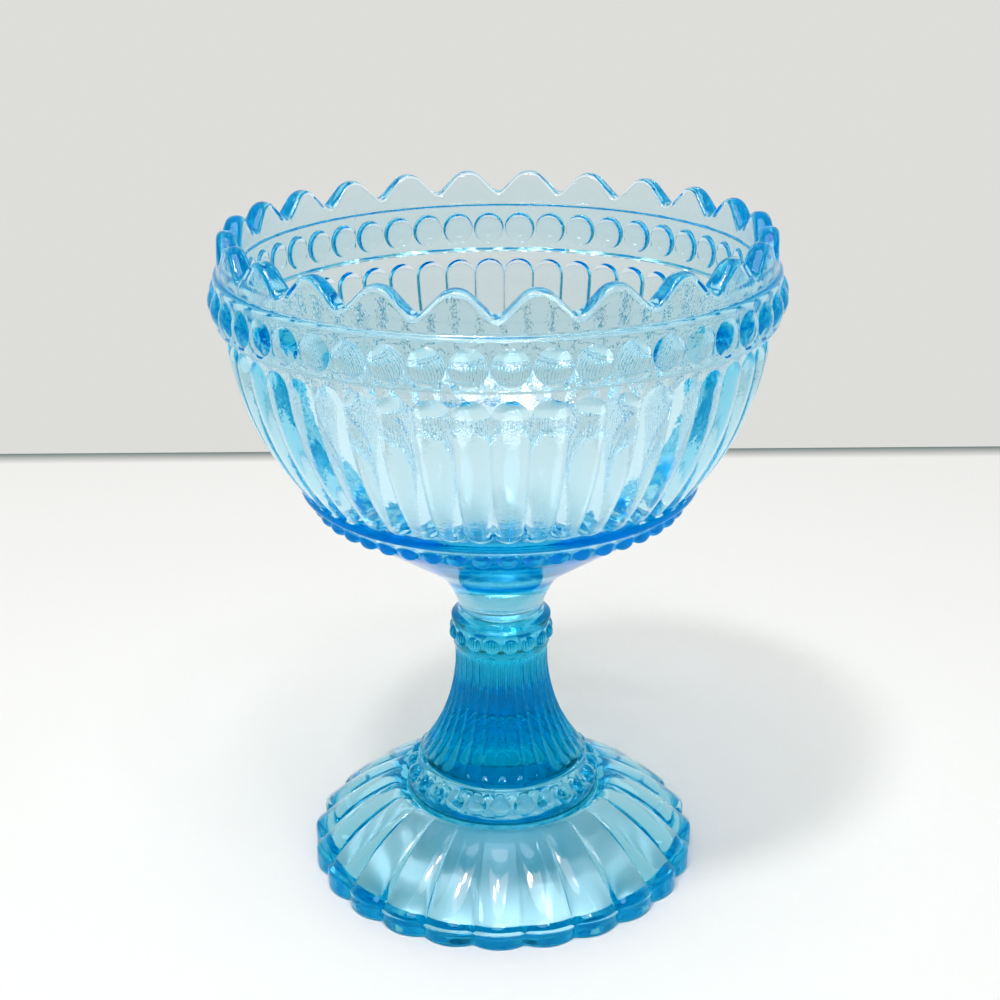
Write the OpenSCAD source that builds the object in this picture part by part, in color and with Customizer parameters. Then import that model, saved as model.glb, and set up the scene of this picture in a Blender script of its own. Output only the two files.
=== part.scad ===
// Footed pressed-glass bowl: six hot-joined sections of clear aqua glass.
// Frame: origin at the centre of the resting face, +Z up along the axis.

/* [Size] */
// Overall height, table to the rim tips (mm)
total_h = 155; // [140:1:170]

/* [Bowl] */
// Number of scallops round the rim
scallops = 24; // [12:12:24]
// Number of beads, and of flutes, round the bowl
bowl_beads = 48; // [24:24:48]
// Turn of the beads and flutes against the scallops (degrees)
bead_turn = 2.4; // [0:0.1:7.5]
// Glass thickness of the bowl wall (mm)
wall_t = 4.4; // [4:0.1:5]

/* [Knop and stem] */
// Number of beads round the knop
knop_beads = 16; // [8:4:16]
// Number of ribs round the stem
stem_ribs = 32; // [16:4:32]

/* [Foot] */
// Number of petals round the foot, and of beads on its collar
petals = 24; // [12:12:24]
// Turn of the petal creases against the scallops (degrees)
petal_turn = 6.2; // [0:0.1:7.5]

/* [Hidden] */
$fn = 96;
nominal_h = 155;
k = total_h / nominal_h;
glass = [0.30, 0.72, 0.86, 0.55];

// Heights of the faces where the sections join
z_foot_top = 18.4;
z_stem_foot = 25.7;
z_stem_top = 54.4;
z_knop_top = 61;
z_neck = 64.3;

// Bowl: a spherical wall centred on the axis
ball_z = 137.3;
ball_r = 60;
flute_proud = 1;
flute_bar_r = 2.2;
flute_bar_ring_r = 57.85;
step_z = 97.2;
band_r = 61.7;
band_z0 = 135.4;
band_z1 = 145.3;
bead_z = 140.4;
bead_r = 5.3;
bead_ring_r = 57.86;
rim_z = 147;
lobe_r = 8.3;
rim_in_r = ball_r - wall_t;
small_bead_r = 2.7;
small_bead_ring_r = 40.2;
small_bead_z = 93.5;

// Knop
knop_r = 11.4;
knop_bead_r = 2.1;
knop_bead_z = 58;

// Stem: a flare that follows one arc, whose centre is outside the stem
flare_r = 42.1;
flare_cr = 53;
flare_cz = 52;
flare_end = 37.3;
rib_r = 0.7;

// Foot and its collar
collar_top_r = 19.9;
collar_bottom_r = 23.2;
collar_bead_r = 2.4;
collar_bead_ring_r = 20.5;
collar_bead_z = 22;
bore_r = 13.6;
bore_top = 22.6;
petal_r = 9;
foot_r = 46.2;
rest_r = 37.8;
crease_r = 0.8;
skirt_slope = 29.5;

function arc(cr, cz, r, a0, a1, n) =
    [for (i = [0 : n]) let (a = a0 + (a1 - a0) * i / n) [cr + r * cos(a), cz + r * sin(a)]];

// Angle below the ball's equator at which the wall passes a height
function ball_angle(r, z) = asin((z - ball_z) / r);

// Spreads n copies round the axis, counted from the front (-Y) towards +X
module around(n, turn = 0) {
    for (i = [0 : n - 1])
        rotate([0, 0, turn + i * 360 / n - 90])
            children();
}

// Round bar that follows an arc in the plane of the axis
module arc_bar(cr, cz, rho, a0, a1, bar_r) {
    translate([cr, 0, cz])
        rotate([90, 0, 0])
            rotate([0, 0, a0])
                rotate_extrude(angle = a1 - a0)
                    translate([rho, 0])
                        circle(bar_r, $fn = 24);
}

// Half section of the bowl up to the plain part of the rim
module bowl_section() {
    base_r = ball_r - flute_proud;
    outside = concat(
        [[0, z_neck], [9.8, z_neck], [9.9, 65.4], [10.5, 66.9], [11.2, 68.4], [12.5, 70.6]],
        [[13.8, 72.6]],
        [[15.6, 74.6], [35.4, 88], [38.4, 90.3], [41.5, 93.4], [43.6, 95], [45, 95.8]],
        [[45.2, 96.6], [44.9, 97.1]],
        arc(0, ball_z, base_r, ball_angle(base_r, step_z), ball_angle(base_r, 133.2), 12),
        [[ball_r, 134.2], [band_r, band_z0], [band_r, band_z1], [61.4, 146], [60.7, 146.3], [60.8, rim_z]]
    );
    inside = concat(
        [[rim_in_r + 0.2, rim_z]],
        arc(0, ball_z, rim_in_r, 0, -86, 22),
        [[0, ball_z - rim_in_r]]
    );
    polygon(concat(outside, inside));
}

// Rim ring cut into round lobes, with narrow valleys between
module rim() {
    intersection() {
        rotate_extrude()
            polygon([[rim_in_r + 0.2, rim_z], [60.8, rim_z], [60.3, 155.5], [rim_in_r + 0.4, 155.5]]);
        union() {
            around(scallops, 180 / scallops)
                translate([50, 0, nominal_h - lobe_width()])
                    rotate([0, 90, 0])
                        cylinder(r = lobe_width(), h = 16);
            cylinder(r = 70, h = rim_z + 0.01);
        }
    }
}

// Radius of a rim lobe, wider where there are fewer of them
function lobe_width() = lobe_r * 24 / scallops;

// Domes on the band, cut from balls so that none reaches the inside of the wall
module band_beads() {
    difference() {
        around(bowl_beads, bead_turn)
            translate([bead_ring_r, 0, bead_z])
                sphere(bead_r, $fn = 48);
        translate([0, 0, bead_z - 10])
            cylinder(r = band_r - 2, h = 20);
    }
}

module bowl() {
    color(glass)
        scale(k)
            union() {
                rotate_extrude()
                    bowl_section();
                rim();
                band_beads();
                around(bowl_beads, bead_turn)
                    arc_bar(0, ball_z, flute_bar_ring_r, ball_angle(ball_r, 98.6),
                            ball_angle(ball_r, 132.4), flute_bar_r);
                around(bowl_beads, bead_turn)
                    translate([small_bead_ring_r, 0, small_bead_z])
                        sphere(small_bead_r, $fn = 24);
            }
}

module wafer() {
    color(glass)
        scale(k)
            rotate_extrude()
                polygon([[0, z_knop_top], [11, z_knop_top], [11.5, 61.3], [11.7, 61.8],
                         [11.6, 62.5], [11.2, 63.3], [10.6, 63.9], [9.8, z_neck], [0, z_neck]]);
}

module knop() {
    color(glass)
        scale(k)
            union() {
                rotate_extrude()
                    polygon([[0, z_stem_top], [10.7, z_stem_top], [11.2, 54.8], [knop_r, 55.6],
                             [knop_r, 60.2], [11, z_knop_top], [0, z_knop_top]]);
                around(knop_beads, 180 / knop_beads)
                    translate([10.3, 0, knop_bead_z])
                        sphere(knop_bead_r, $fn = 32);
            }
}

module stem() {
    color(glass)
        scale(k)
            union() {
                rotate_extrude()
                    polygon(concat(
                        [[0, z_stem_foot], [19.2, z_stem_foot]],
                        arc(flare_cr, flare_cz, flare_r, 180 + flare_end, 180, 14),
                        [[10.7, z_stem_top], [0, z_stem_top]]
                    ));
                around(stem_ribs)
                    arc_bar(flare_cr, flare_cz, flare_r + 0.25, 177.2, 179 + flare_end - 3, rib_r);
            }
}

module foot_collar() {
    color(glass)
        scale(k)
            union() {
                rotate_extrude()
                    polygon([[bore_r, z_foot_top], [collar_bottom_r, z_foot_top], [23.1, 19.2],
                             [20.2, 25.2], [collar_top_r, z_stem_foot], [0, z_stem_foot],
                             [0, bore_top], [6, 22.1], [10.4, 20.9], [12.8, 19.6]]);
                around(petals, petal_turn + 180 / petals)
                    translate([collar_bead_ring_r, 0, collar_bead_z])
                        sphere(collar_bead_r, $fn = 32);
            }
}

// Half section of the thick skirt, hollowed from below, with its flat resting ring
module foot_section() {
    polygon([[bore_r, z_foot_top], [collar_bottom_r, z_foot_top], [26.2, 17.9], [28.3, 16.9],
             [32.9, 13.9], [37.9, 10.4], [43, 7], [45.5, 5.4], [foot_r, 4.4],
             [foot_r, 0.7], [45.5, 0], [rest_r, 0], [36.3, 1], [27, 8.9],
             [23, 12.2], [18, 14.6], [14.6, 16]]);
}

module foot() {
    color(glass)
        scale(k)
            difference() {
                intersection() {
                    rotate_extrude()
                        foot_section();
                    union() {
                        cylinder(r = 42, h = 30, center = true);
                        translate([0, 0, -1])
                            around(petals, petal_turn + 180 / petals)
                                translate([foot_r - petal_width(), 0, 0])
                                    cylinder(r = petal_width(), h = 20);
                    }
                }
                around(petals, petal_turn)
                    translate([24.5, 0, 18.7])
                        rotate([0, 90 + skirt_slope, 0])
                            cylinder(r = crease_r, h = 26, $fn = 24);
            }
}

// Radius of a petal's outline, wider where there are fewer of them
function petal_width() = petal_r * 24 / petals;

bowl();
wafer();
knop();
stem();
foot_collar();
foot();
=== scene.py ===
import math

import bmesh
import bpy
import numpy as np
from mathutils import Matrix, Vector


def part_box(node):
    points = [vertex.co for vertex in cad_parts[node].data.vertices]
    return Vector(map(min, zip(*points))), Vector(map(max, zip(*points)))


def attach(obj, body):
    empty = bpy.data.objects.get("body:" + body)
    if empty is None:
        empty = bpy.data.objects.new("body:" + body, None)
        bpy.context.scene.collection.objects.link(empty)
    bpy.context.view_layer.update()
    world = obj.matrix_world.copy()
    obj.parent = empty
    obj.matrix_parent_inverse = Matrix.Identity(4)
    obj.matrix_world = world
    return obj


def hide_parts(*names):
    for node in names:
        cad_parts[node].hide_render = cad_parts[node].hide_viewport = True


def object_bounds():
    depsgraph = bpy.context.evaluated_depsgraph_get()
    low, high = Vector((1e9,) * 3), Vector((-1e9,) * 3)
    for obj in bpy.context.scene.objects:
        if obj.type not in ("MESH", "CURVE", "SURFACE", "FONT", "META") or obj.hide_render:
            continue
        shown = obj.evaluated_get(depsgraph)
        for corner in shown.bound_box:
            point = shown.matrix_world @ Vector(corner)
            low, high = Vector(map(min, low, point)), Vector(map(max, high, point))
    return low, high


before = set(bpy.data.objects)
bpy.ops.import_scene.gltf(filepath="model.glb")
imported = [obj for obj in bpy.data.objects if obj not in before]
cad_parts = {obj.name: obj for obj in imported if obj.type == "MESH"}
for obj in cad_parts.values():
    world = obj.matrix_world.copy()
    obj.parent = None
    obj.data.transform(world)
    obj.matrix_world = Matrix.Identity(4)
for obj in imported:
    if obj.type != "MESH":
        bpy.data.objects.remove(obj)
cad_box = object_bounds()

MM = 0.001
NOMINAL_HEIGHT = 155.0
SCALE = cad_box[1].z / (NOMINAL_HEIGHT * MM)


def level(node, end):
    """Height of a section's lower (0) or upper (1) face, in nominal millimetres."""
    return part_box(node)[end].z / (MM * SCALE)


Z_NECK = level("bowl", 0)
Z_KNOP_TOP = level("knop", 1)
Z_STEM_TOP = level("stem", 1)
Z_STEM_FOOT = level("foot_collar", 1)
Z_FOOT_TOP = level("foot", 1)

# Counts and turns of the patterns; turns go from the front (-Y) towards +X
SCALLOPS = 24
BOWL_CELLS = 48
BOWL_TURN = math.radians(2.4)
KNOP_CELLS = 16
STEM_FLUTES = 32
PETALS = 24
PETAL_TURN = math.radians(13.7)
KNOP_TURN = math.radians(11.25)

# How far each section sinks into the one below, so that no air gap is left between them,
# and how much narrower it is there
SINK = 0.05
CHAMFER = 0.1

# A bead's dome stops at a share of its half angle, and a fillet runs from there down into a
# shallow groove, at a share of the bead's base radius
BEAD_CAP = 0.96
FILLET = 1.03
MOAT = 0.12

# Parting lines of a three-part mould, and how close a point must be to lie on one
SEAMS = [math.radians(a) for a in (-23.85, 96.15, -143.85)]
SEAM_REACH = math.radians(0.01)

# Sharp edges: between patches of different groups, and anywhere the surface turns more
GROUP_EDGE = math.radians(8)
ANY_EDGE = math.radians(32)


# ---------------------------------------------------------------- outlines

def line(a, b, n):
    """n steps from a to b, without the last point."""
    t = np.arange(n)[:, None] / n
    return np.array(a) * (1 - t) + np.array(b) * t


def bezier(a, b, c, d, n):
    """n steps along a cubic curve, without the last point."""
    t = np.arange(n)[:, None] / n
    a, b, c, d = map(np.array, (a, b, c, d))
    return (1 - t) ** 3 * a + 3 * (1 - t) ** 2 * t * b + 3 * (1 - t) * t * t * c + t ** 3 * d


def arc(centre, radius, start, end, n):
    """n steps along an arc, in degrees, without the last point."""
    a = np.radians(start + (end - start) * np.arange(n) / n)
    return np.stack([centre[0] + radius * np.cos(a), centre[1] + radius * np.sin(a)], 1)


def outline(*parts):
    return np.concatenate([np.atleast_2d(np.array(p, float)) for p in parts])


# ---------------------------------------------------------------- shells

class Shell:
    """A closed mesh, gathered from patches given by turn, radius and height."""

    def __init__(self):
        self.points = []
        self.faces = []
        self.groups = []
        self.total = 0

    def add(self, turn, radius, height, faces, group, copies=1, first=0.0):
        """Adds a patch of points, repeated round the axis."""
        turn, radius, height = (np.ravel(v) for v in np.broadcast_arrays(turn, radius, height))
        for i in range(copies):
            a = turn + first + i * math.tau / copies
            self.points.append(np.stack([radius * np.sin(a), -radius * np.cos(a), height], 1))
            self.faces += [[v + self.total for v in f] for f in faces]
            self.groups += [group] * len(faces)
            self.total += len(turn)

    def grid(self, turn, radius, height, group, copies=1, first=0.0):
        """Adds a patch of rows and columns of points."""
        turn, radius, height = np.broadcast_arrays(turn, radius, height)
        rows, cols = turn.shape
        faces = [(r * cols + c, r * cols + c + 1, (r + 1) * cols + c + 1, (r + 1) * cols + c)
                 for r in range(rows - 1) for c in range(cols - 1)]
        self.add(turn, radius, height, faces, group, copies, first)

    def turned(self, profile, turns, group):
        """Adds a surface of revolution."""
        profile = np.array(profile, float)
        self.grid(turns[None, :], profile[:, :1], profile[:, 1:], group)

    def halve(self, turns, top, bottom, group):
        """Adds a row that joins a ring to one with half as many columns."""
        n = len(turns) - 1
        under = turns[::2]
        faces = [(2 * i, 2 * i + 1, 2 * i + 2, n + 2 + i, n + 1 + i) for i in range(n // 2)]
        turn = np.concatenate([turns, under])
        radius = np.concatenate([np.full(n + 1, top[0]), np.full(len(under), bottom[0])])
        height = np.concatenate([np.full(n + 1, top[1]), np.full(len(under), bottom[1])])
        self.add(turn, radius, height, faces, group)

    def raise_seams(self, turns, proud, inner):
        """Lifts the points on the mould's parting lines, outside a radius."""
        for points in self.points:
            radius = np.hypot(points[:, 0], points[:, 1])
            turn = np.arctan2(points[:, 0], -points[:, 1])
            for seam in turns:
                apart = np.abs((turn - seam + math.pi) % math.tau - math.pi)
                hit = (apart < SEAM_REACH) & (radius > inner)
                points[hit, :2] *= (1 + proud / radius[hit])[:, None]

    def piece(self, name, node, slot, material):
        """Welds the patches and makes the piece that stands for a node."""
        points = np.concatenate(self.points)
        keys = np.round(points, 3) + 0.0
        _, keep, where = np.unique(keys, axis=0, return_index=True, return_inverse=True)
        where = where.ravel()
        faces, groups = [], []
        for face, group in zip(self.faces, self.groups):
            f = [int(where[v]) for v in face]
            f = [v for i, v in enumerate(f) if v != f[i - 1]]
            if len(f) > 2:
                faces.append(f)
                groups.append(group)
        mesh = bpy.data.meshes.new(name)
        mesh.from_pydata((points[keep] * MM * SCALE).tolist(), [], faces)
        bm = bmesh.new()
        bm.from_mesh(mesh)
        bm.faces.ensure_lookup_table()
        bmesh.ops.recalc_face_normals(bm, faces=bm.faces)
        bm.faces.index_update()
        for face in bm.faces:
            face.smooth = True
        for edge in bm.edges:
            if len(edge.link_faces) != 2:
                raise ValueError(f"{name} is open or folded at {edge.verts[0].co}")
            a, b = edge.link_faces
            turn = edge.calc_face_angle(0)
            apart = groups[a.index] != groups[b.index]
            edge.smooth = not (turn > ANY_EDGE or (apart and turn > GROUP_EDGE))
        bm.to_mesh(mesh)
        bm.free()
        piece = bpy.data.objects.new(name, mesh)
        bpy.context.scene.collection.objects.link(piece)
        mesh.materials.append(material)
        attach(piece, "root")
        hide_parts(node)
        return piece


def even_turns(n):
    return np.linspace(0, math.tau, n + 1)


def cell_angles(cols):
    """Angles whose sines space a cell's columns, closer together at its edges."""
    return np.linspace(-math.pi / 2, math.pi / 2, cols + 1)


def ring_turns(cells, cols, first):
    """Turns of every column round a ring of cells."""
    half = math.pi / cells
    inside = half * np.sin(cell_angles(cols))[:-1]
    turns = (first + np.arange(cells)[:, None] * 2 * half + inside[None, :]).ravel()
    return np.append(turns, turns[0] + math.tau)


def bead_cells(shell, cells, cols, sides, first, upper, lower, base, proud, rings, groups):
    """Domes on a cone between two (radius, height) edges, each in its own cell."""
    half = math.pi / cells
    upper, lower = np.array(upper), np.array(lower)
    centre = (upper + lower) / 2
    slope = upper - centre
    reach = np.linalg.norm(slope)
    along = slope / reach
    out = np.array([along[1], -along[0]])
    sines = np.sin(cell_angles(cols))
    rise = np.linspace(1, -1, sides + 1)
    # Walk round the cell's edge: along the top, down the right side, back, and up
    edge_s = np.concatenate([sines[:-1], np.ones(sides), sines[:0:-1], -np.ones(sides)])
    edge_v = np.concatenate([np.ones(cols), rise[:-1], -np.ones(cols), rise[:0:-1]])
    n = len(edge_s)
    quarters = ((135, cols), (45, sides), (-45, cols), (-135, sides))
    a = np.radians(np.concatenate([np.linspace(q, q - 90, m + 1)[:-1] for q, m in quarters]))
    ball = (base ** 2 + proud ** 2) / (2 * proud)
    widest = math.asin(base / ball)

    def place(turn, v, lift):
        radius = centre[0] + along[0] * v + out[0] * lift
        height = centre[1] + along[1] * v + out[1] * lift
        return turn, radius, height

    turn, v, lift = [], [], []
    for i in range(rings + 1):
        tip = widest * BEAD_CAP * i / rings
        rho = ball * math.sin(tip)
        turn.append(rho * np.cos(a) / centre[0])
        v.append(rho * np.sin(a))
        lift.append(np.full(n, ball * math.cos(tip) - ball + proud))
    turn.append(FILLET * base * np.cos(a) / centre[0])
    v.append(FILLET * base * np.sin(a))
    lift.append(np.full(n, -MOAT))
    close = [np.append(np.array(x), np.array(x)[:, :1], 1) for x in (turn, v, lift)]
    shell.grid(*place(*close), groups[0], cells, first)
    rim = [x[-1] for x in close]
    edge = [np.append(edge_s, edge_s[0]) * half, np.append(edge_v, edge_v[0]) * reach]
    turn, v = (np.array([r, r * 0.5 + e * 0.5, e]) for r, e in zip(rim, edge))
    lift = np.array([[-MOAT], [0], [0]]) + np.zeros((3, n + 1))
    shell.grid(*place(turn, v, lift), groups[1], cells, first)


# ---------------------------------------------------------------- bowl

BALL_Z = 137.3
BALL_R = 60.0
WALL = 4.4
INNER_R = BALL_R - WALL
BAND_R = 61.7
RIDGE_R = 60.8
NECK_R = 9.8
LEDGE_Z = 134.6
FLUTE_TOP_Z = 129.0
FLUTE_PROUD = 1.3
FLUTE_POWER = 2.6
FLUTE_END_Z = 99.1
FLUTE_LOW_Z = 96.5
BOWL_COLS = 16
RIM_Z = 147.0
PEAK_Z = 154.99
VALLEY_Z = 150.0
RIM_IN_R = 55.8
RIM_MEAN_R = 58.1
RIM_ROUND = 1.6
RIM_POWER = 0.85
OUTER_LEAN, INNER_LEAN = -0.0625, 0.08
SEAM_PROUD = 0.13
SEAM_IN_R = 58.0


def scallop(turn):
    """Height of the rim's edge: round peaks and tighter valleys joined by straight flanks."""
    pitch = math.tau / SCALLOPS
    x = np.abs((turn / pitch) % 1 - 0.5) * pitch * RIM_MEAN_R
    half, drop = pitch * RIM_MEAN_R / 2, PEAK_Z - VALLEY_Z
    peak_r, valley_r, slope = 4.4, 1.9, math.radians(44.5)
    s, c = math.sin(slope), math.cos(slope)
    peak = peak_r - np.sqrt(np.maximum(peak_r ** 2 - x ** 2, 0))
    valley = drop - valley_r + np.sqrt(np.maximum(valley_r ** 2 - (half - x) ** 2, 0))
    start, end = peak_r * s, half - valley_r * s
    low, high = drop - valley_r * (1 - c), peak_r * (1 - c)
    flank = high + (x - start) * (low - high) / (end - start)
    return PEAK_Z - np.where(x < start, peak, np.where(x > end, valley, flank))


def sphere_radius(z):
    return np.sqrt(BALL_R ** 2 - (z - BALL_Z) ** 2)


def on_wall(z, depth):
    """Radius and height of a point cut into the ball's wall by a depth."""
    share = 1 - depth / BALL_R
    return sphere_radius(z) * share, BALL_Z + (z - BALL_Z) * share


def bowl_rim(shell, turns):
    """Scalloped edge, from the outer ridge over the top to the inner wall."""
    spacing = math.tau / (len(turns) - 1)
    even = np.round(turns[0] / spacing) * spacing + spacing * np.arange(len(turns))
    top = scallop(even) - RIM_ROUND
    turn, radius, height = [], [], []

    def row(share, r, z):
        turn.append(turns * (1 - share) + even * share)
        radius.append(np.broadcast_to(r, turns.shape))
        height.append(np.broadcast_to(z, turns.shape))

    steps = 5
    for i in range(steps):
        t = i / steps
        z = RIM_Z + (top - RIM_Z) * t
        row(min(1, 2 * t), RIDGE_R + (z - RIM_Z) * OUTER_LEAN, z)
    out_r = RIDGE_R + (top - RIM_Z) * OUTER_LEAN
    in_r = RIM_IN_R + (top - RIM_Z) * INNER_LEAN
    for a in np.linspace(0, math.pi, 11):
        c, s = math.cos(a), math.sin(a)
        across = math.copysign(abs(c) ** RIM_POWER, c)
        row(1, (out_r + in_r) / 2 + (out_r - in_r) / 2 * across, top + RIM_ROUND * s ** RIM_POWER)
    for i in range(steps - 1, -1, -1):
        t = i / steps
        z = RIM_Z + (top - RIM_Z) * t
        row(min(1, 2 * t), RIM_IN_R + (z - RIM_Z) * INNER_LEAN, z)
    shell.grid(np.array(turn), np.array(radius), np.array(height), 1)


def bowl_flutes(shell):
    """Round-ended flutes side by side, each bulging from a field cut into the ball."""
    angles = cell_angles(BOWL_COLS)
    s, c = np.sin(angles)[None, :], np.cos(angles)[None, :]
    turn = math.pi / BOWL_CELLS * s

    def patch(z, depth, group):
        shell.grid(turn, *on_wall(z, depth), group, BOWL_CELLS, BOWL_TURN)

    arch = sphere_radius(FLUTE_TOP_Z) * math.pi / BOWL_CELLS
    end = sphere_radius(FLUTE_END_Z) ** 2 / BALL_R * math.pi / BOWL_CELLS
    t = np.linspace(1, 0, 9)[:, None]
    patch(FLUTE_TOP_Z + t * arch * c, FLUTE_PROUD * np.hypot(s, t * c) ** FLUTE_POWER, 3)
    t = np.linspace(0, 1, 4)[:, None]
    patch(LEDGE_Z * (1 - t) + (FLUTE_TOP_Z + arch * c) * t, FLUTE_PROUD + 0 * s, 2)
    z = np.linspace(FLUTE_TOP_Z, FLUTE_END_Z, 21)[:, None]
    patch(z, FLUTE_PROUD * np.abs(s) ** FLUTE_POWER, 3)
    t = np.linspace(0, 1, 8)[:, None]
    patch(FLUTE_END_Z - t * end * c, FLUTE_PROUD * np.hypot(s, t * c) ** FLUTE_POWER, 3)
    t = np.linspace(0, 1, 3)[:, None]
    patch((FLUTE_END_Z - end * c) * (1 - t) + FLUTE_LOW_Z * t, FLUTE_PROUD + 0 * s, 2)


def make_bowl(material):
    shell = Shell()
    turns = ring_turns(BOWL_CELLS, BOWL_COLS, BOWL_TURN)
    half_turns = turns[::2]
    bowl_rim(shell, turns)
    band_top, band_low = (BAND_R, 144.9), (BAND_R, 135.9)
    edge_z = 145.3
    shell.turned(outline(bezier((RIDGE_R, RIM_Z), (60.6, 146.8), (60.5, 146.4), (60.65, 146.3), 4),
                         arc((60.7, edge_z), 1.0, 90, 0, 8), (BAND_R, edge_z), band_top),
                 turns, 4)
    bead_cells(shell, BOWL_CELLS, BOWL_COLS, 8, BOWL_TURN, band_top, band_low, 3.75, 1.42, 7,
               (5, 4))
    ledge_r, ledge_z = on_wall(LEDGE_Z, FLUTE_PROUD)
    under_band = (61.0, 135.1)
    shell.turned(outline(bezier(band_low, (BAND_R, 135.4), (61.4, 135.2), under_band, 5),
                         bezier(under_band, (60.0, 135.0), (ledge_r, 135.1),
                                (ledge_r, ledge_z), 6), (ledge_r, ledge_z)), turns, 4)
    bowl_flutes(shell)
    step_low, under_step = (44.46, 95.46), (43.9, 95.0)
    shell.turned(outline(on_wall(FLUTE_LOW_Z, FLUTE_PROUD), arc((44.3, 96.4), 0.95, 75, -80, 7),
                         step_low), turns, 6)
    under_top, under_low = (43.1, 94.3), (39.6, 90.8)
    shell.halve(turns, step_low, under_step, 7)
    shell.turned([under_step, under_top], half_turns, 7)
    bead_cells(shell, BOWL_CELLS, BOWL_COLS // 2, 4, BOWL_TURN, under_top, under_low,
               2.3, 1.35, 5, (8, 7))
    cone_low = (16.5, 75.2)
    shell.turned(outline(line(under_low, cone_low, 5),
                         bezier(cone_low, (13.4, 73.1), (10.6, 68.5), (NECK_R, Z_NECK), 12),
                         (NECK_R, Z_NECK)), half_turns, 7)
    shell.turned([(NECK_R, Z_NECK), (NECK_R - CHAMFER, Z_NECK - SINK), (0, Z_NECK - SINK)],
                 half_turns, 9)
    inner_top = (55.72, 144)
    shell.halve(turns, (RIM_IN_R, RIM_Z), inner_top, 1)
    shell.turned(outline(inner_top, (55.65, 140.5),
                         arc((0, BALL_Z), INNER_R, 0, -90, 45), (0, BALL_Z - INNER_R)),
                 half_turns, 1)
    shell.raise_seams(SEAMS, SEAM_PROUD, SEAM_IN_R)
    return shell.piece("bowl_glass", "bowl", "bowl_glass", material)


# ---------------------------------------------------------------- wafer, knop, stem

KNOP_TOP_R = 11.0
KNOP_R = 11.4
KNOP_LOW_R = 10.97
WAFER_R = 11.72
WAFER_TOP_R = 9.85


def make_wafer(material):
    shell = Shell()
    turns = even_turns(192)
    shell.turned([(0, Z_KNOP_TOP - SINK), (KNOP_TOP_R - CHAMFER, Z_KNOP_TOP - SINK),
                  (KNOP_TOP_R, Z_KNOP_TOP)], turns, 1)
    shoulder, hollow = (11.4, 62.35), (10.0, 63.5)
    shell.turned(outline(bezier((KNOP_TOP_R, Z_KNOP_TOP), (11.5, Z_KNOP_TOP), (WAFER_R, 61.1),
                                (WAFER_R, 61.4), 5),
                         bezier((WAFER_R, 61.9), (WAFER_R, 62.1), (11.6, 62.25), shoulder, 5),
                         bezier(shoulder, (10.7, 62.7), (10.2, 63.0), hollow, 6),
                         bezier(hollow, (9.9, 63.8), (WAFER_TOP_R, 64.0), (WAFER_TOP_R, Z_NECK), 3),
                         (WAFER_TOP_R, Z_NECK)), turns, 2)
    shell.turned([(WAFER_TOP_R, Z_NECK), (0, Z_NECK)], turns, 3)
    return shell.piece("wafer_glass", "wafer", "wafer_glass", material)


def make_knop(material):
    shell = Shell()
    turns = ring_turns(KNOP_CELLS, 12, KNOP_TURN)
    high, low = (KNOP_R, 60.1), (KNOP_R, 55.9)
    shell.turned([(0, Z_KNOP_TOP), (KNOP_TOP_R, Z_KNOP_TOP)], turns, 1)
    shell.turned(outline(bezier((KNOP_TOP_R, Z_KNOP_TOP), (11.3, 60.95), (KNOP_R, 60.6), high, 4),
                         high), turns, 2)
    bead_cells(shell, KNOP_CELLS, 12, 8, KNOP_TURN, high, low, 1.82, 1.0, 6, (3, 2))
    shell.turned(outline(bezier(low, (KNOP_R, 55.1), (11.2, 54.5), (KNOP_LOW_R, Z_STEM_TOP), 6),
                         (KNOP_LOW_R, Z_STEM_TOP)), turns, 2)
    shell.turned([(KNOP_LOW_R, Z_STEM_TOP), (10.8, Z_STEM_TOP - SINK), (0, Z_STEM_TOP - SINK)],
                 turns, 4)
    return shell.piece("knop_glass", "knop", "knop_glass", material)


FLARE_R = 42.1
FLARE_CENTRE = (53.0, 52.0)
BORE_TOP = 22.6
COLLAR_TOP_R = 19.8
COLLAR_LOW_R = 23.2
COLLAR_BORE_R = 13.6
RIB_DEPTH = 0.55
RIB_THINNER = 0.2


def flare(z):
    """Radius of the stem, which follows one arc."""
    return FLARE_CENTRE[0] - np.sqrt(FLARE_R ** 2 - (z - FLARE_CENTRE[1]) ** 2)


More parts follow.
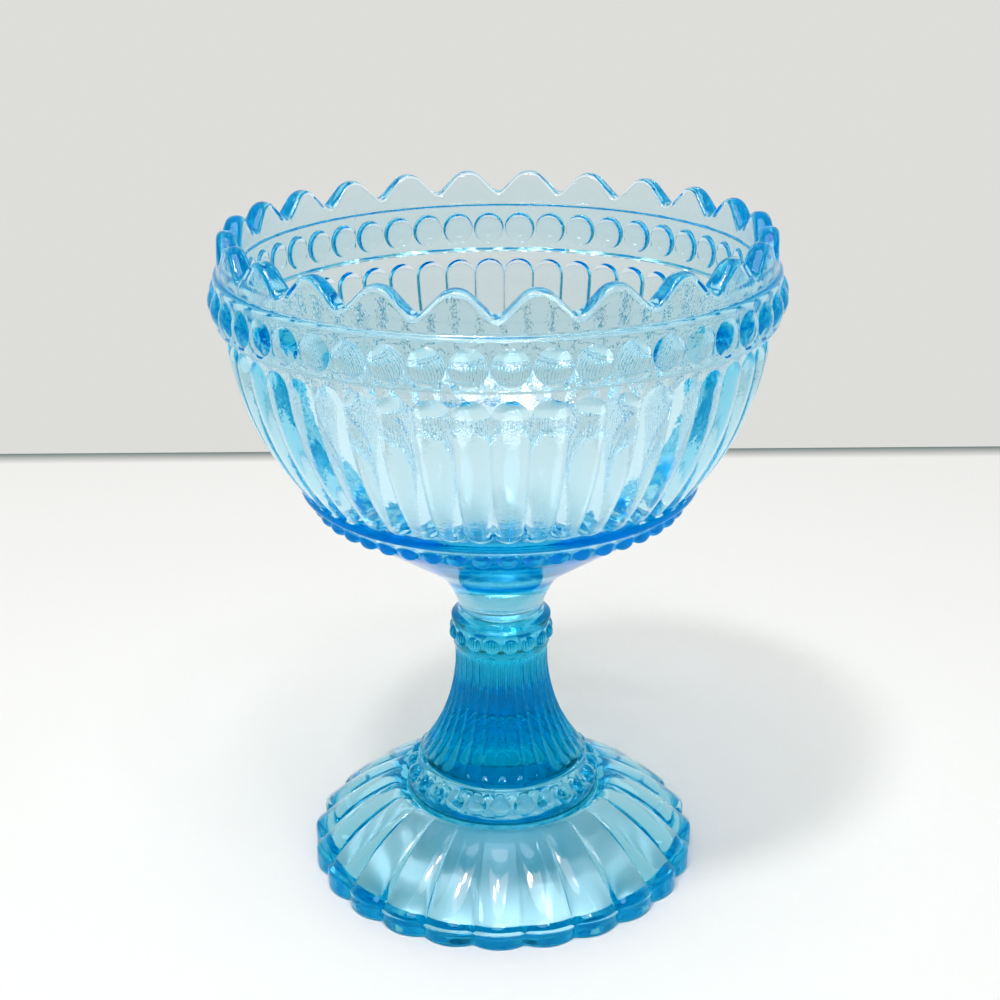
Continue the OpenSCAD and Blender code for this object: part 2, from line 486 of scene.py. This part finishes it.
def make_stem(material):
    shell = Shell()
    cols = 18
    turns = ring_turns(STEM_FLUTES, cols, 0)
    s, c = np.sin(cell_angles(cols))[None, :], np.cos(cell_angles(cols))[None, :]
    turn = math.pi / STEM_FLUTES * s
    end_z, low_z, fade_z = 29.2, 26.6, 52.8
    shell.turned([(0, Z_STEM_TOP), (flare(Z_STEM_TOP), Z_STEM_TOP)], turns, 1)

    def depth_at(z):
        fade = np.clip((Z_STEM_TOP - z) / (Z_STEM_TOP - fade_z), 0, 1)
        thinner = RIB_THINNER * (z - end_z) / (Z_STEM_TOP - end_z)
        return (RIB_DEPTH - thinner) * np.sin(fade * math.pi / 2)

    z = np.linspace(Z_STEM_TOP, end_z, 60)[:, None]
    shell.grid(turn, flare(z) - depth_at(z) * (1 - s ** 2), z, 2, STEM_FLUTES, 0)
    t = np.linspace(0, 1, 7)[:, None]
    end = (end_z - low_z) * 0.8
    z = end_z - t * end * c
    shell.grid(turn, flare(z) - RIB_DEPTH * (1 - s ** 2 - (t * c) ** 2), z, 2, STEM_FLUTES, 0)
    t = np.linspace(0, 1, 3)[:, None]
    z = (end_z - end * c) * (1 - t) + low_z * t
    shell.grid(turn, flare(z), z, 3, STEM_FLUTES, 0)
    foot_r = 19.2
    shell.turned(outline(bezier((flare(low_z), low_z), (19.35, 26.4), (19.3, 26.0),
                                (foot_r, Z_STEM_FOOT), 4), (foot_r, Z_STEM_FOOT)), turns, 3)
    shell.turned([(foot_r, Z_STEM_FOOT), (foot_r - CHAMFER, Z_STEM_FOOT - SINK),
                  (0, Z_STEM_FOOT - SINK)], turns, 4)
    return shell.piece("stem_glass", "stem", "stem_glass", material)


# ---------------------------------------------------------------- collar and foot

def make_collar(material):
    shell = Shell()
    turns = ring_turns(PETALS, 16, PETAL_TURN)
    high, low = (20.3, 25.0), (22.9, 19.2)
    shell.turned([(0, Z_STEM_FOOT), (COLLAR_TOP_R, Z_STEM_FOOT)], turns, 1)
    shell.turned(outline(bezier((COLLAR_TOP_R, Z_STEM_FOOT), (20.1, 25.65), (20.2, 25.3), high, 4),
                         high), turns, 2)
    bead_cells(shell, PETALS, 16, 10, PETAL_TURN, high, low, 2.35, 1.5, 7, (3, 2))
    shell.turned(outline(bezier(low, (23.05, 18.9), (23.15, 18.7), (COLLAR_LOW_R, Z_FOOT_TOP), 3),
                         (COLLAR_LOW_R, Z_FOOT_TOP)), turns, 2)
    shell.turned([(COLLAR_LOW_R, Z_FOOT_TOP), (COLLAR_LOW_R - CHAMFER, Z_FOOT_TOP - SINK),
                  (COLLAR_BORE_R + CHAMFER, Z_FOOT_TOP - SINK), (COLLAR_BORE_R, Z_FOOT_TOP)],
                 turns, 4)
    shell.turned(outline(bezier((COLLAR_BORE_R, Z_FOOT_TOP), (13.0, 20.4), (9.0, BORE_TOP),
                                (0, BORE_TOP), 16), (0, BORE_TOP)), turns, 5)
    return shell.piece("collar_glass", "foot_collar", "collar_glass", material)


FOOT_R = 46.2
REST_R = 38.8
PETAL_R = 9.0
CREASE = 2.0
EDGE_R = 44.7
EDGE_Z = 5.9
SKIRT_R = 23.4


def petal_outline(s):
    """Outermost radius across a petal, whose outline is an arc."""
    a = math.pi / PETALS * s
    centre = FOOT_R - PETAL_R
    return centre * np.cos(a) + np.sqrt(PETAL_R ** 2 - (centre * np.sin(a)) ** 2)


def make_foot(material):
    shell = Shell()
    cols = 24
    turns = ring_turns(PETALS, cols, PETAL_TURN)
    s = np.sin(cell_angles(cols))[None, :]
    turn = math.pi / PETALS * s
    out = petal_outline(s)
    hump = 0.45 * s ** 2 + 0.15 * s ** 4 + 0.4 * s ** 14
    shell.turned([(COLLAR_BORE_R, Z_FOOT_TOP), (SKIRT_R, Z_FOOT_TOP)], turns, 1)
    brow = (28.3, 17.3)
    top = outline(bezier((SKIRT_R, Z_FOOT_TOP), (25.2, 18.4), (26.6, 18.2), brow, 6),
                  bezier(brow, (33.9, 14.6), (40.6, 10.1), (EDGE_R, EDGE_Z), 20),
                  (EDGE_R, EDGE_Z))
    r, z = top[:, :1], top[:, 1:]
    crease_r, notch_r = 24.5, 30
    grow = np.clip((r - crease_r) / (EDGE_R - crease_r), 0, 1) ** 0.7
    notch = (out - FOOT_R) * np.clip((r - notch_r) / (EDGE_R - notch_r), 0, 1) ** 2
    shell.grid(turn, r + notch, z - CREASE * grow * hump, 2, PETALS, PETAL_TURN)
    bevel = 0.7
    side = outline(bezier((EDGE_R - FOOT_R, EDGE_Z), (-0.6, 5.1), (0, 4.9), (0, 4.1), 6),
                   line((0, 4.1), (0, bevel), 3),
                   bezier((0, bevel), (0, 0.3), (-0.3, 0), (-bevel, 0), 4), (-bevel, 0))
    fall = np.clip(side[:, 1:] / EDGE_Z, 0, 1) ** 2
    shell.grid(turn, out + side[:, :1], side[:, 1:] - CREASE * fall * hump, 3, PETALS, PETAL_TURN)
    rest = np.array([0.0, 1.0])[:, None]
    shell.grid(turn, (out - bevel) * (1 - rest) + REST_R * rest, 0 * rest, 4, PETALS, PETAL_TURN)
    lip, bend, throat = (37.3, 1.0), (27.0, 9.4), (17.0, 14.9)
    bore = (COLLAR_BORE_R, Z_FOOT_TOP)
    shell.turned(outline(bezier((REST_R, 0), (REST_R - 0.5, 0), (37.9, 0.5), lip, 4),
                         line(lip, bend, 6),
                         bezier(bend, (23.0, 12.7), (20.0, 14.0), throat, 8),
                         bezier(throat, (14.8, 15.2), (13.8, 16.2), bore, 6), bore), turns, 5)
    return shell.piece("foot_glass", "foot", "foot_glass", material)


# ---------------------------------------------------------------- materials

# Light that each metre of glass takes from red, green and blue
CLEAR = (46.0, 12.5, 2.5)
FOOT_CLEAR = (42.0, 11.0, 2.5)
KNOP_BLUE = (70.0, 16.0, 4.0)
DEEP = (140.0, 33.0, 12.0)
GLASS_IOR = 1.5
RIPPLE_SCALE = 1100


def glass(name, taken, ripple):
    """Clear aqua pressed glass: its colour deepens with depth, and its skin may have a ripple."""
    material = bpy.data.materials.new(name)
    material.use_nodes = True
    tree = material.node_tree
    tree.nodes.clear()
    output = tree.nodes.new("ShaderNodeOutputMaterial")
    shader = tree.nodes.new("ShaderNodeBsdfPrincipled")
    shader.inputs["Base Color"].default_value = (1, 1, 1, 1)
    shader.inputs["Transmission Weight"].default_value = 1.0
    shader.inputs["Roughness"].default_value = 0.0
    shader.inputs["IOR"].default_value = GLASS_IOR
    body = tree.nodes.new("ShaderNodeVolumeAbsorption")
    # A little over the strongest, so that no channel of the colour is nought
    density = max(taken) * 1.02
    body.inputs["Color"].default_value = (*[1 - t / density for t in taken], 1)
    body.inputs["Density"].default_value = density
    place = tree.nodes.new("ShaderNodeTexCoord")
    noise = tree.nodes.new("ShaderNodeTexNoise")
    noise.inputs["Scale"].default_value = RIPPLE_SCALE
    noise.inputs["Detail"].default_value = 2
    bump = tree.nodes.new("ShaderNodeBump")
    bump.inputs["Strength"].default_value = 1.0
    bump.inputs["Distance"].default_value = ripple * MM
    tree.links.new(place.outputs["Object"], noise.inputs["Vector"])
    tree.links.new(noise.outputs["Fac"], bump.inputs["Height"])
    tree.links.new(bump.outputs["Normal"], shader.inputs["Normal"])
    tree.links.new(shader.outputs["BSDF"], output.inputs["Surface"])
    tree.links.new(body.outputs["Volume"], output.inputs["Volume"])
    return material


# ---------------------------------------------------------------- stage, lights, camera

TABLE_EDGE = 0.288
TABLE_WIDE, TABLE_NEAR = 1.6, -1.4
GAP = 0.0002
# Width of the painted shadow strip along the table's back edge
EDGE_SHADOW_BAND = 0.012
TABLE_WHITE = (0.84, 0.842, 0.83, 1)
# Painted shade: dark grey of the shadow strip at the table's back edge
EDGE_SHADOW_GREY = (0.15, 0.15, 0.145, 1)
VIEWER_GREY = (0.28, 0.28, 0.28, 1)
WALL_GREY = (0.72, 0.725, 0.705, 1)

# Name, place (m), diameter (m) and power (W) of each lamp, and the point they all face
LAMPS = (
    ("near_ring", (-0.04, -0.18, 0.56), 0.05, 0.25),
    ("spot_left", (-0.26, -0.42, 1.2), 0.14, 4.0),
    ("spot_right", (0.27, -0.49, 1.2), 0.12, 0.6),
    ("ceiling_panel", (-0.05, -0.35, 1.3), 0.9, 6.7),
)
LAMP_AIM = (0, 0, 0.08)

# Camera: lens (mm), distance from the axis and height (m), and turns (radians)
LENS, SENSOR = 63.3, 36
CAMERA_AWAY, CAMERA_HEIGHT = 0.3763, 0.2364
CAMERA_TURN, CAMERA_PITCH, CAMERA_ROLL = (math.radians(a) for a in (0.26, 21.23, -0.52))

# Points of the curve on red: input, output
RED_CURVE = ((0.04, 0.002), (0.1, 0.03), (0.2, 0.135), (0.36, 0.33), (0.6, 0.6))


def blend_along_y(tree, coordinate, kind, span, colours):
    """Socket whose colour changes from the first to the second along a span of Y."""
    place = tree.nodes.new("ShaderNodeTexCoord")
    split = tree.nodes.new("ShaderNodeSeparateXYZ")
    ramp = tree.nodes.new("ShaderNodeMapRange")
    ramp.interpolation_type = kind
    ramp.inputs["From Min"].default_value = span[0]
    ramp.inputs["From Max"].default_value = span[1]
    mix = tree.nodes.new("ShaderNodeMix")
    mix.data_type = "RGBA"
    mix.inputs[6].default_value = colours[0]
    mix.inputs[7].default_value = colours[1]
    tree.links.new(place.outputs[coordinate], split.inputs[0])
    tree.links.new(split.outputs["Y"], ramp.inputs["Value"])
    tree.links.new(ramp.outputs["Result"], mix.inputs[0])
    return mix.outputs[2]


def make_floor():
    """Pale table top, a hair under the foot, with painted shadow: a dark strip along its straight
    back edge.
    """
    mesh = bpy.data.meshes.new("table_top")
    corners = [(x, y, -GAP) for x, y in ((-TABLE_WIDE, TABLE_NEAR), (TABLE_WIDE, TABLE_NEAR),
                                         (TABLE_WIDE, TABLE_EDGE), (-TABLE_WIDE, TABLE_EDGE))]
    mesh.from_pydata(corners, [], [(0, 1, 2, 3)])
    floor = bpy.data.objects.new("table_top", mesh)
    bpy.context.scene.collection.objects.link(floor)
    material = bpy.data.materials.new("table_white")
    material.use_nodes = True
    tree = material.node_tree
    shader = tree.nodes["Principled BSDF"]
    shader.inputs["Roughness"].default_value = 0.6
    # Painted shadow: the white turns to dark grey over the last strip before the back edge
    colour = blend_along_y(tree, "Object", "LINEAR", (TABLE_EDGE - EDGE_SHADOW_BAND, TABLE_EDGE),
                           (TABLE_WHITE, EDGE_SHADOW_GREY))
    tree.links.new(colour, shader.inputs["Base Color"])
    mesh.materials.append(material)


def make_world():
    """Pale grey room, darker on the viewer's side."""
    world = bpy.data.worlds.new("studio")
    bpy.context.scene.world = world
    world.use_nodes = True
    tree = world.node_tree
    back = tree.nodes["Background"]
    back.inputs["Strength"].default_value = 1.0
    colour = blend_along_y(tree, "Generated", "SMOOTHSTEP", (-0.6, 0.2), (VIEWER_GREY, WALL_GREY))
    tree.links.new(colour, back.inputs["Color"])


def make_lamp(name, place, size, power):
    """A round soft light that faces the bowl."""
    lamp = bpy.data.lights.new(name, "AREA")
    lamp.size = size
    lamp.energy = power
    lamp.shape = "DISK"
    holder = bpy.data.objects.new(name, lamp)
    holder.location = place
    aim = Vector(LAMP_AIM) - Vector(place)
    holder.rotation_euler = aim.to_track_quat("-Z", "Y").to_euler()
    bpy.context.scene.collection.objects.link(holder)


def make_camera():
    data = bpy.data.cameras.new("camera")
    data.lens = LENS
    data.sensor_width = SENSOR
    camera = bpy.data.objects.new("camera", data)
    place = (CAMERA_AWAY * math.sin(CAMERA_TURN), -CAMERA_AWAY * math.cos(CAMERA_TURN),
             CAMERA_HEIGHT)
    camera.matrix_world = (
        Matrix.Translation(place)
        @ Matrix.Rotation(CAMERA_TURN, 4, "Z")
        @ Matrix.Rotation(math.pi / 2 - CAMERA_PITCH, 4, "X")
        @ Matrix.Rotation(CAMERA_ROLL, 4, "Z")
    )
    bpy.context.scene.collection.objects.link(camera)
    bpy.context.scene.camera = camera


def set_light_paths():
    """Glass needs many bounces and unblurred caustics, or deep places turn black."""
    scene = bpy.context.scene
    scene.cycles.max_bounces = 48
    scene.cycles.transmission_bounces = 48
    scene.cycles.glossy_bounces = 24
    scene.cycles.transparent_max_bounces = 16
    scene.cycles.caustics_refractive = True
    scene.cycles.caustics_reflective = True
    scene.cycles.blur_glossy = 0.0
    scene.cycles.sample_clamp_indirect = 30.0


def set_tone():
    """Plain view transform, with less red where the glass already takes most of it."""
    view = bpy.context.scene.view_settings
    view.view_transform = "Standard"
    view.use_curve_mapping = True
    red = view.curve_mapping.curves[0]
    for x, y in RED_CURVE:
        red.points.new(x, y)
    view.curve_mapping.update()


make_camera()
set_light_paths()
set_tone()
make_floor()
make_world()
for lamp in LAMPS:
    make_lamp(*lamp)

# Each piece's builder, glass, and how high its ripple is (mm)
for make, name, taken, ripple in (
        (make_bowl, "bowl_glass", CLEAR, 0.02),
        (make_wafer, "wafer_glass", CLEAR, 0.004),
        (make_knop, "knop_glass", KNOP_BLUE, 0.004),
        (make_stem, "stem_glass", DEEP, 0.0),
        (make_collar, "collar_glass", FOOT_CLEAR, 0.004),
        (make_foot, "foot_glass", FOOT_CLEAR, 0.006)):
    make(glass(name, taken, ripple))
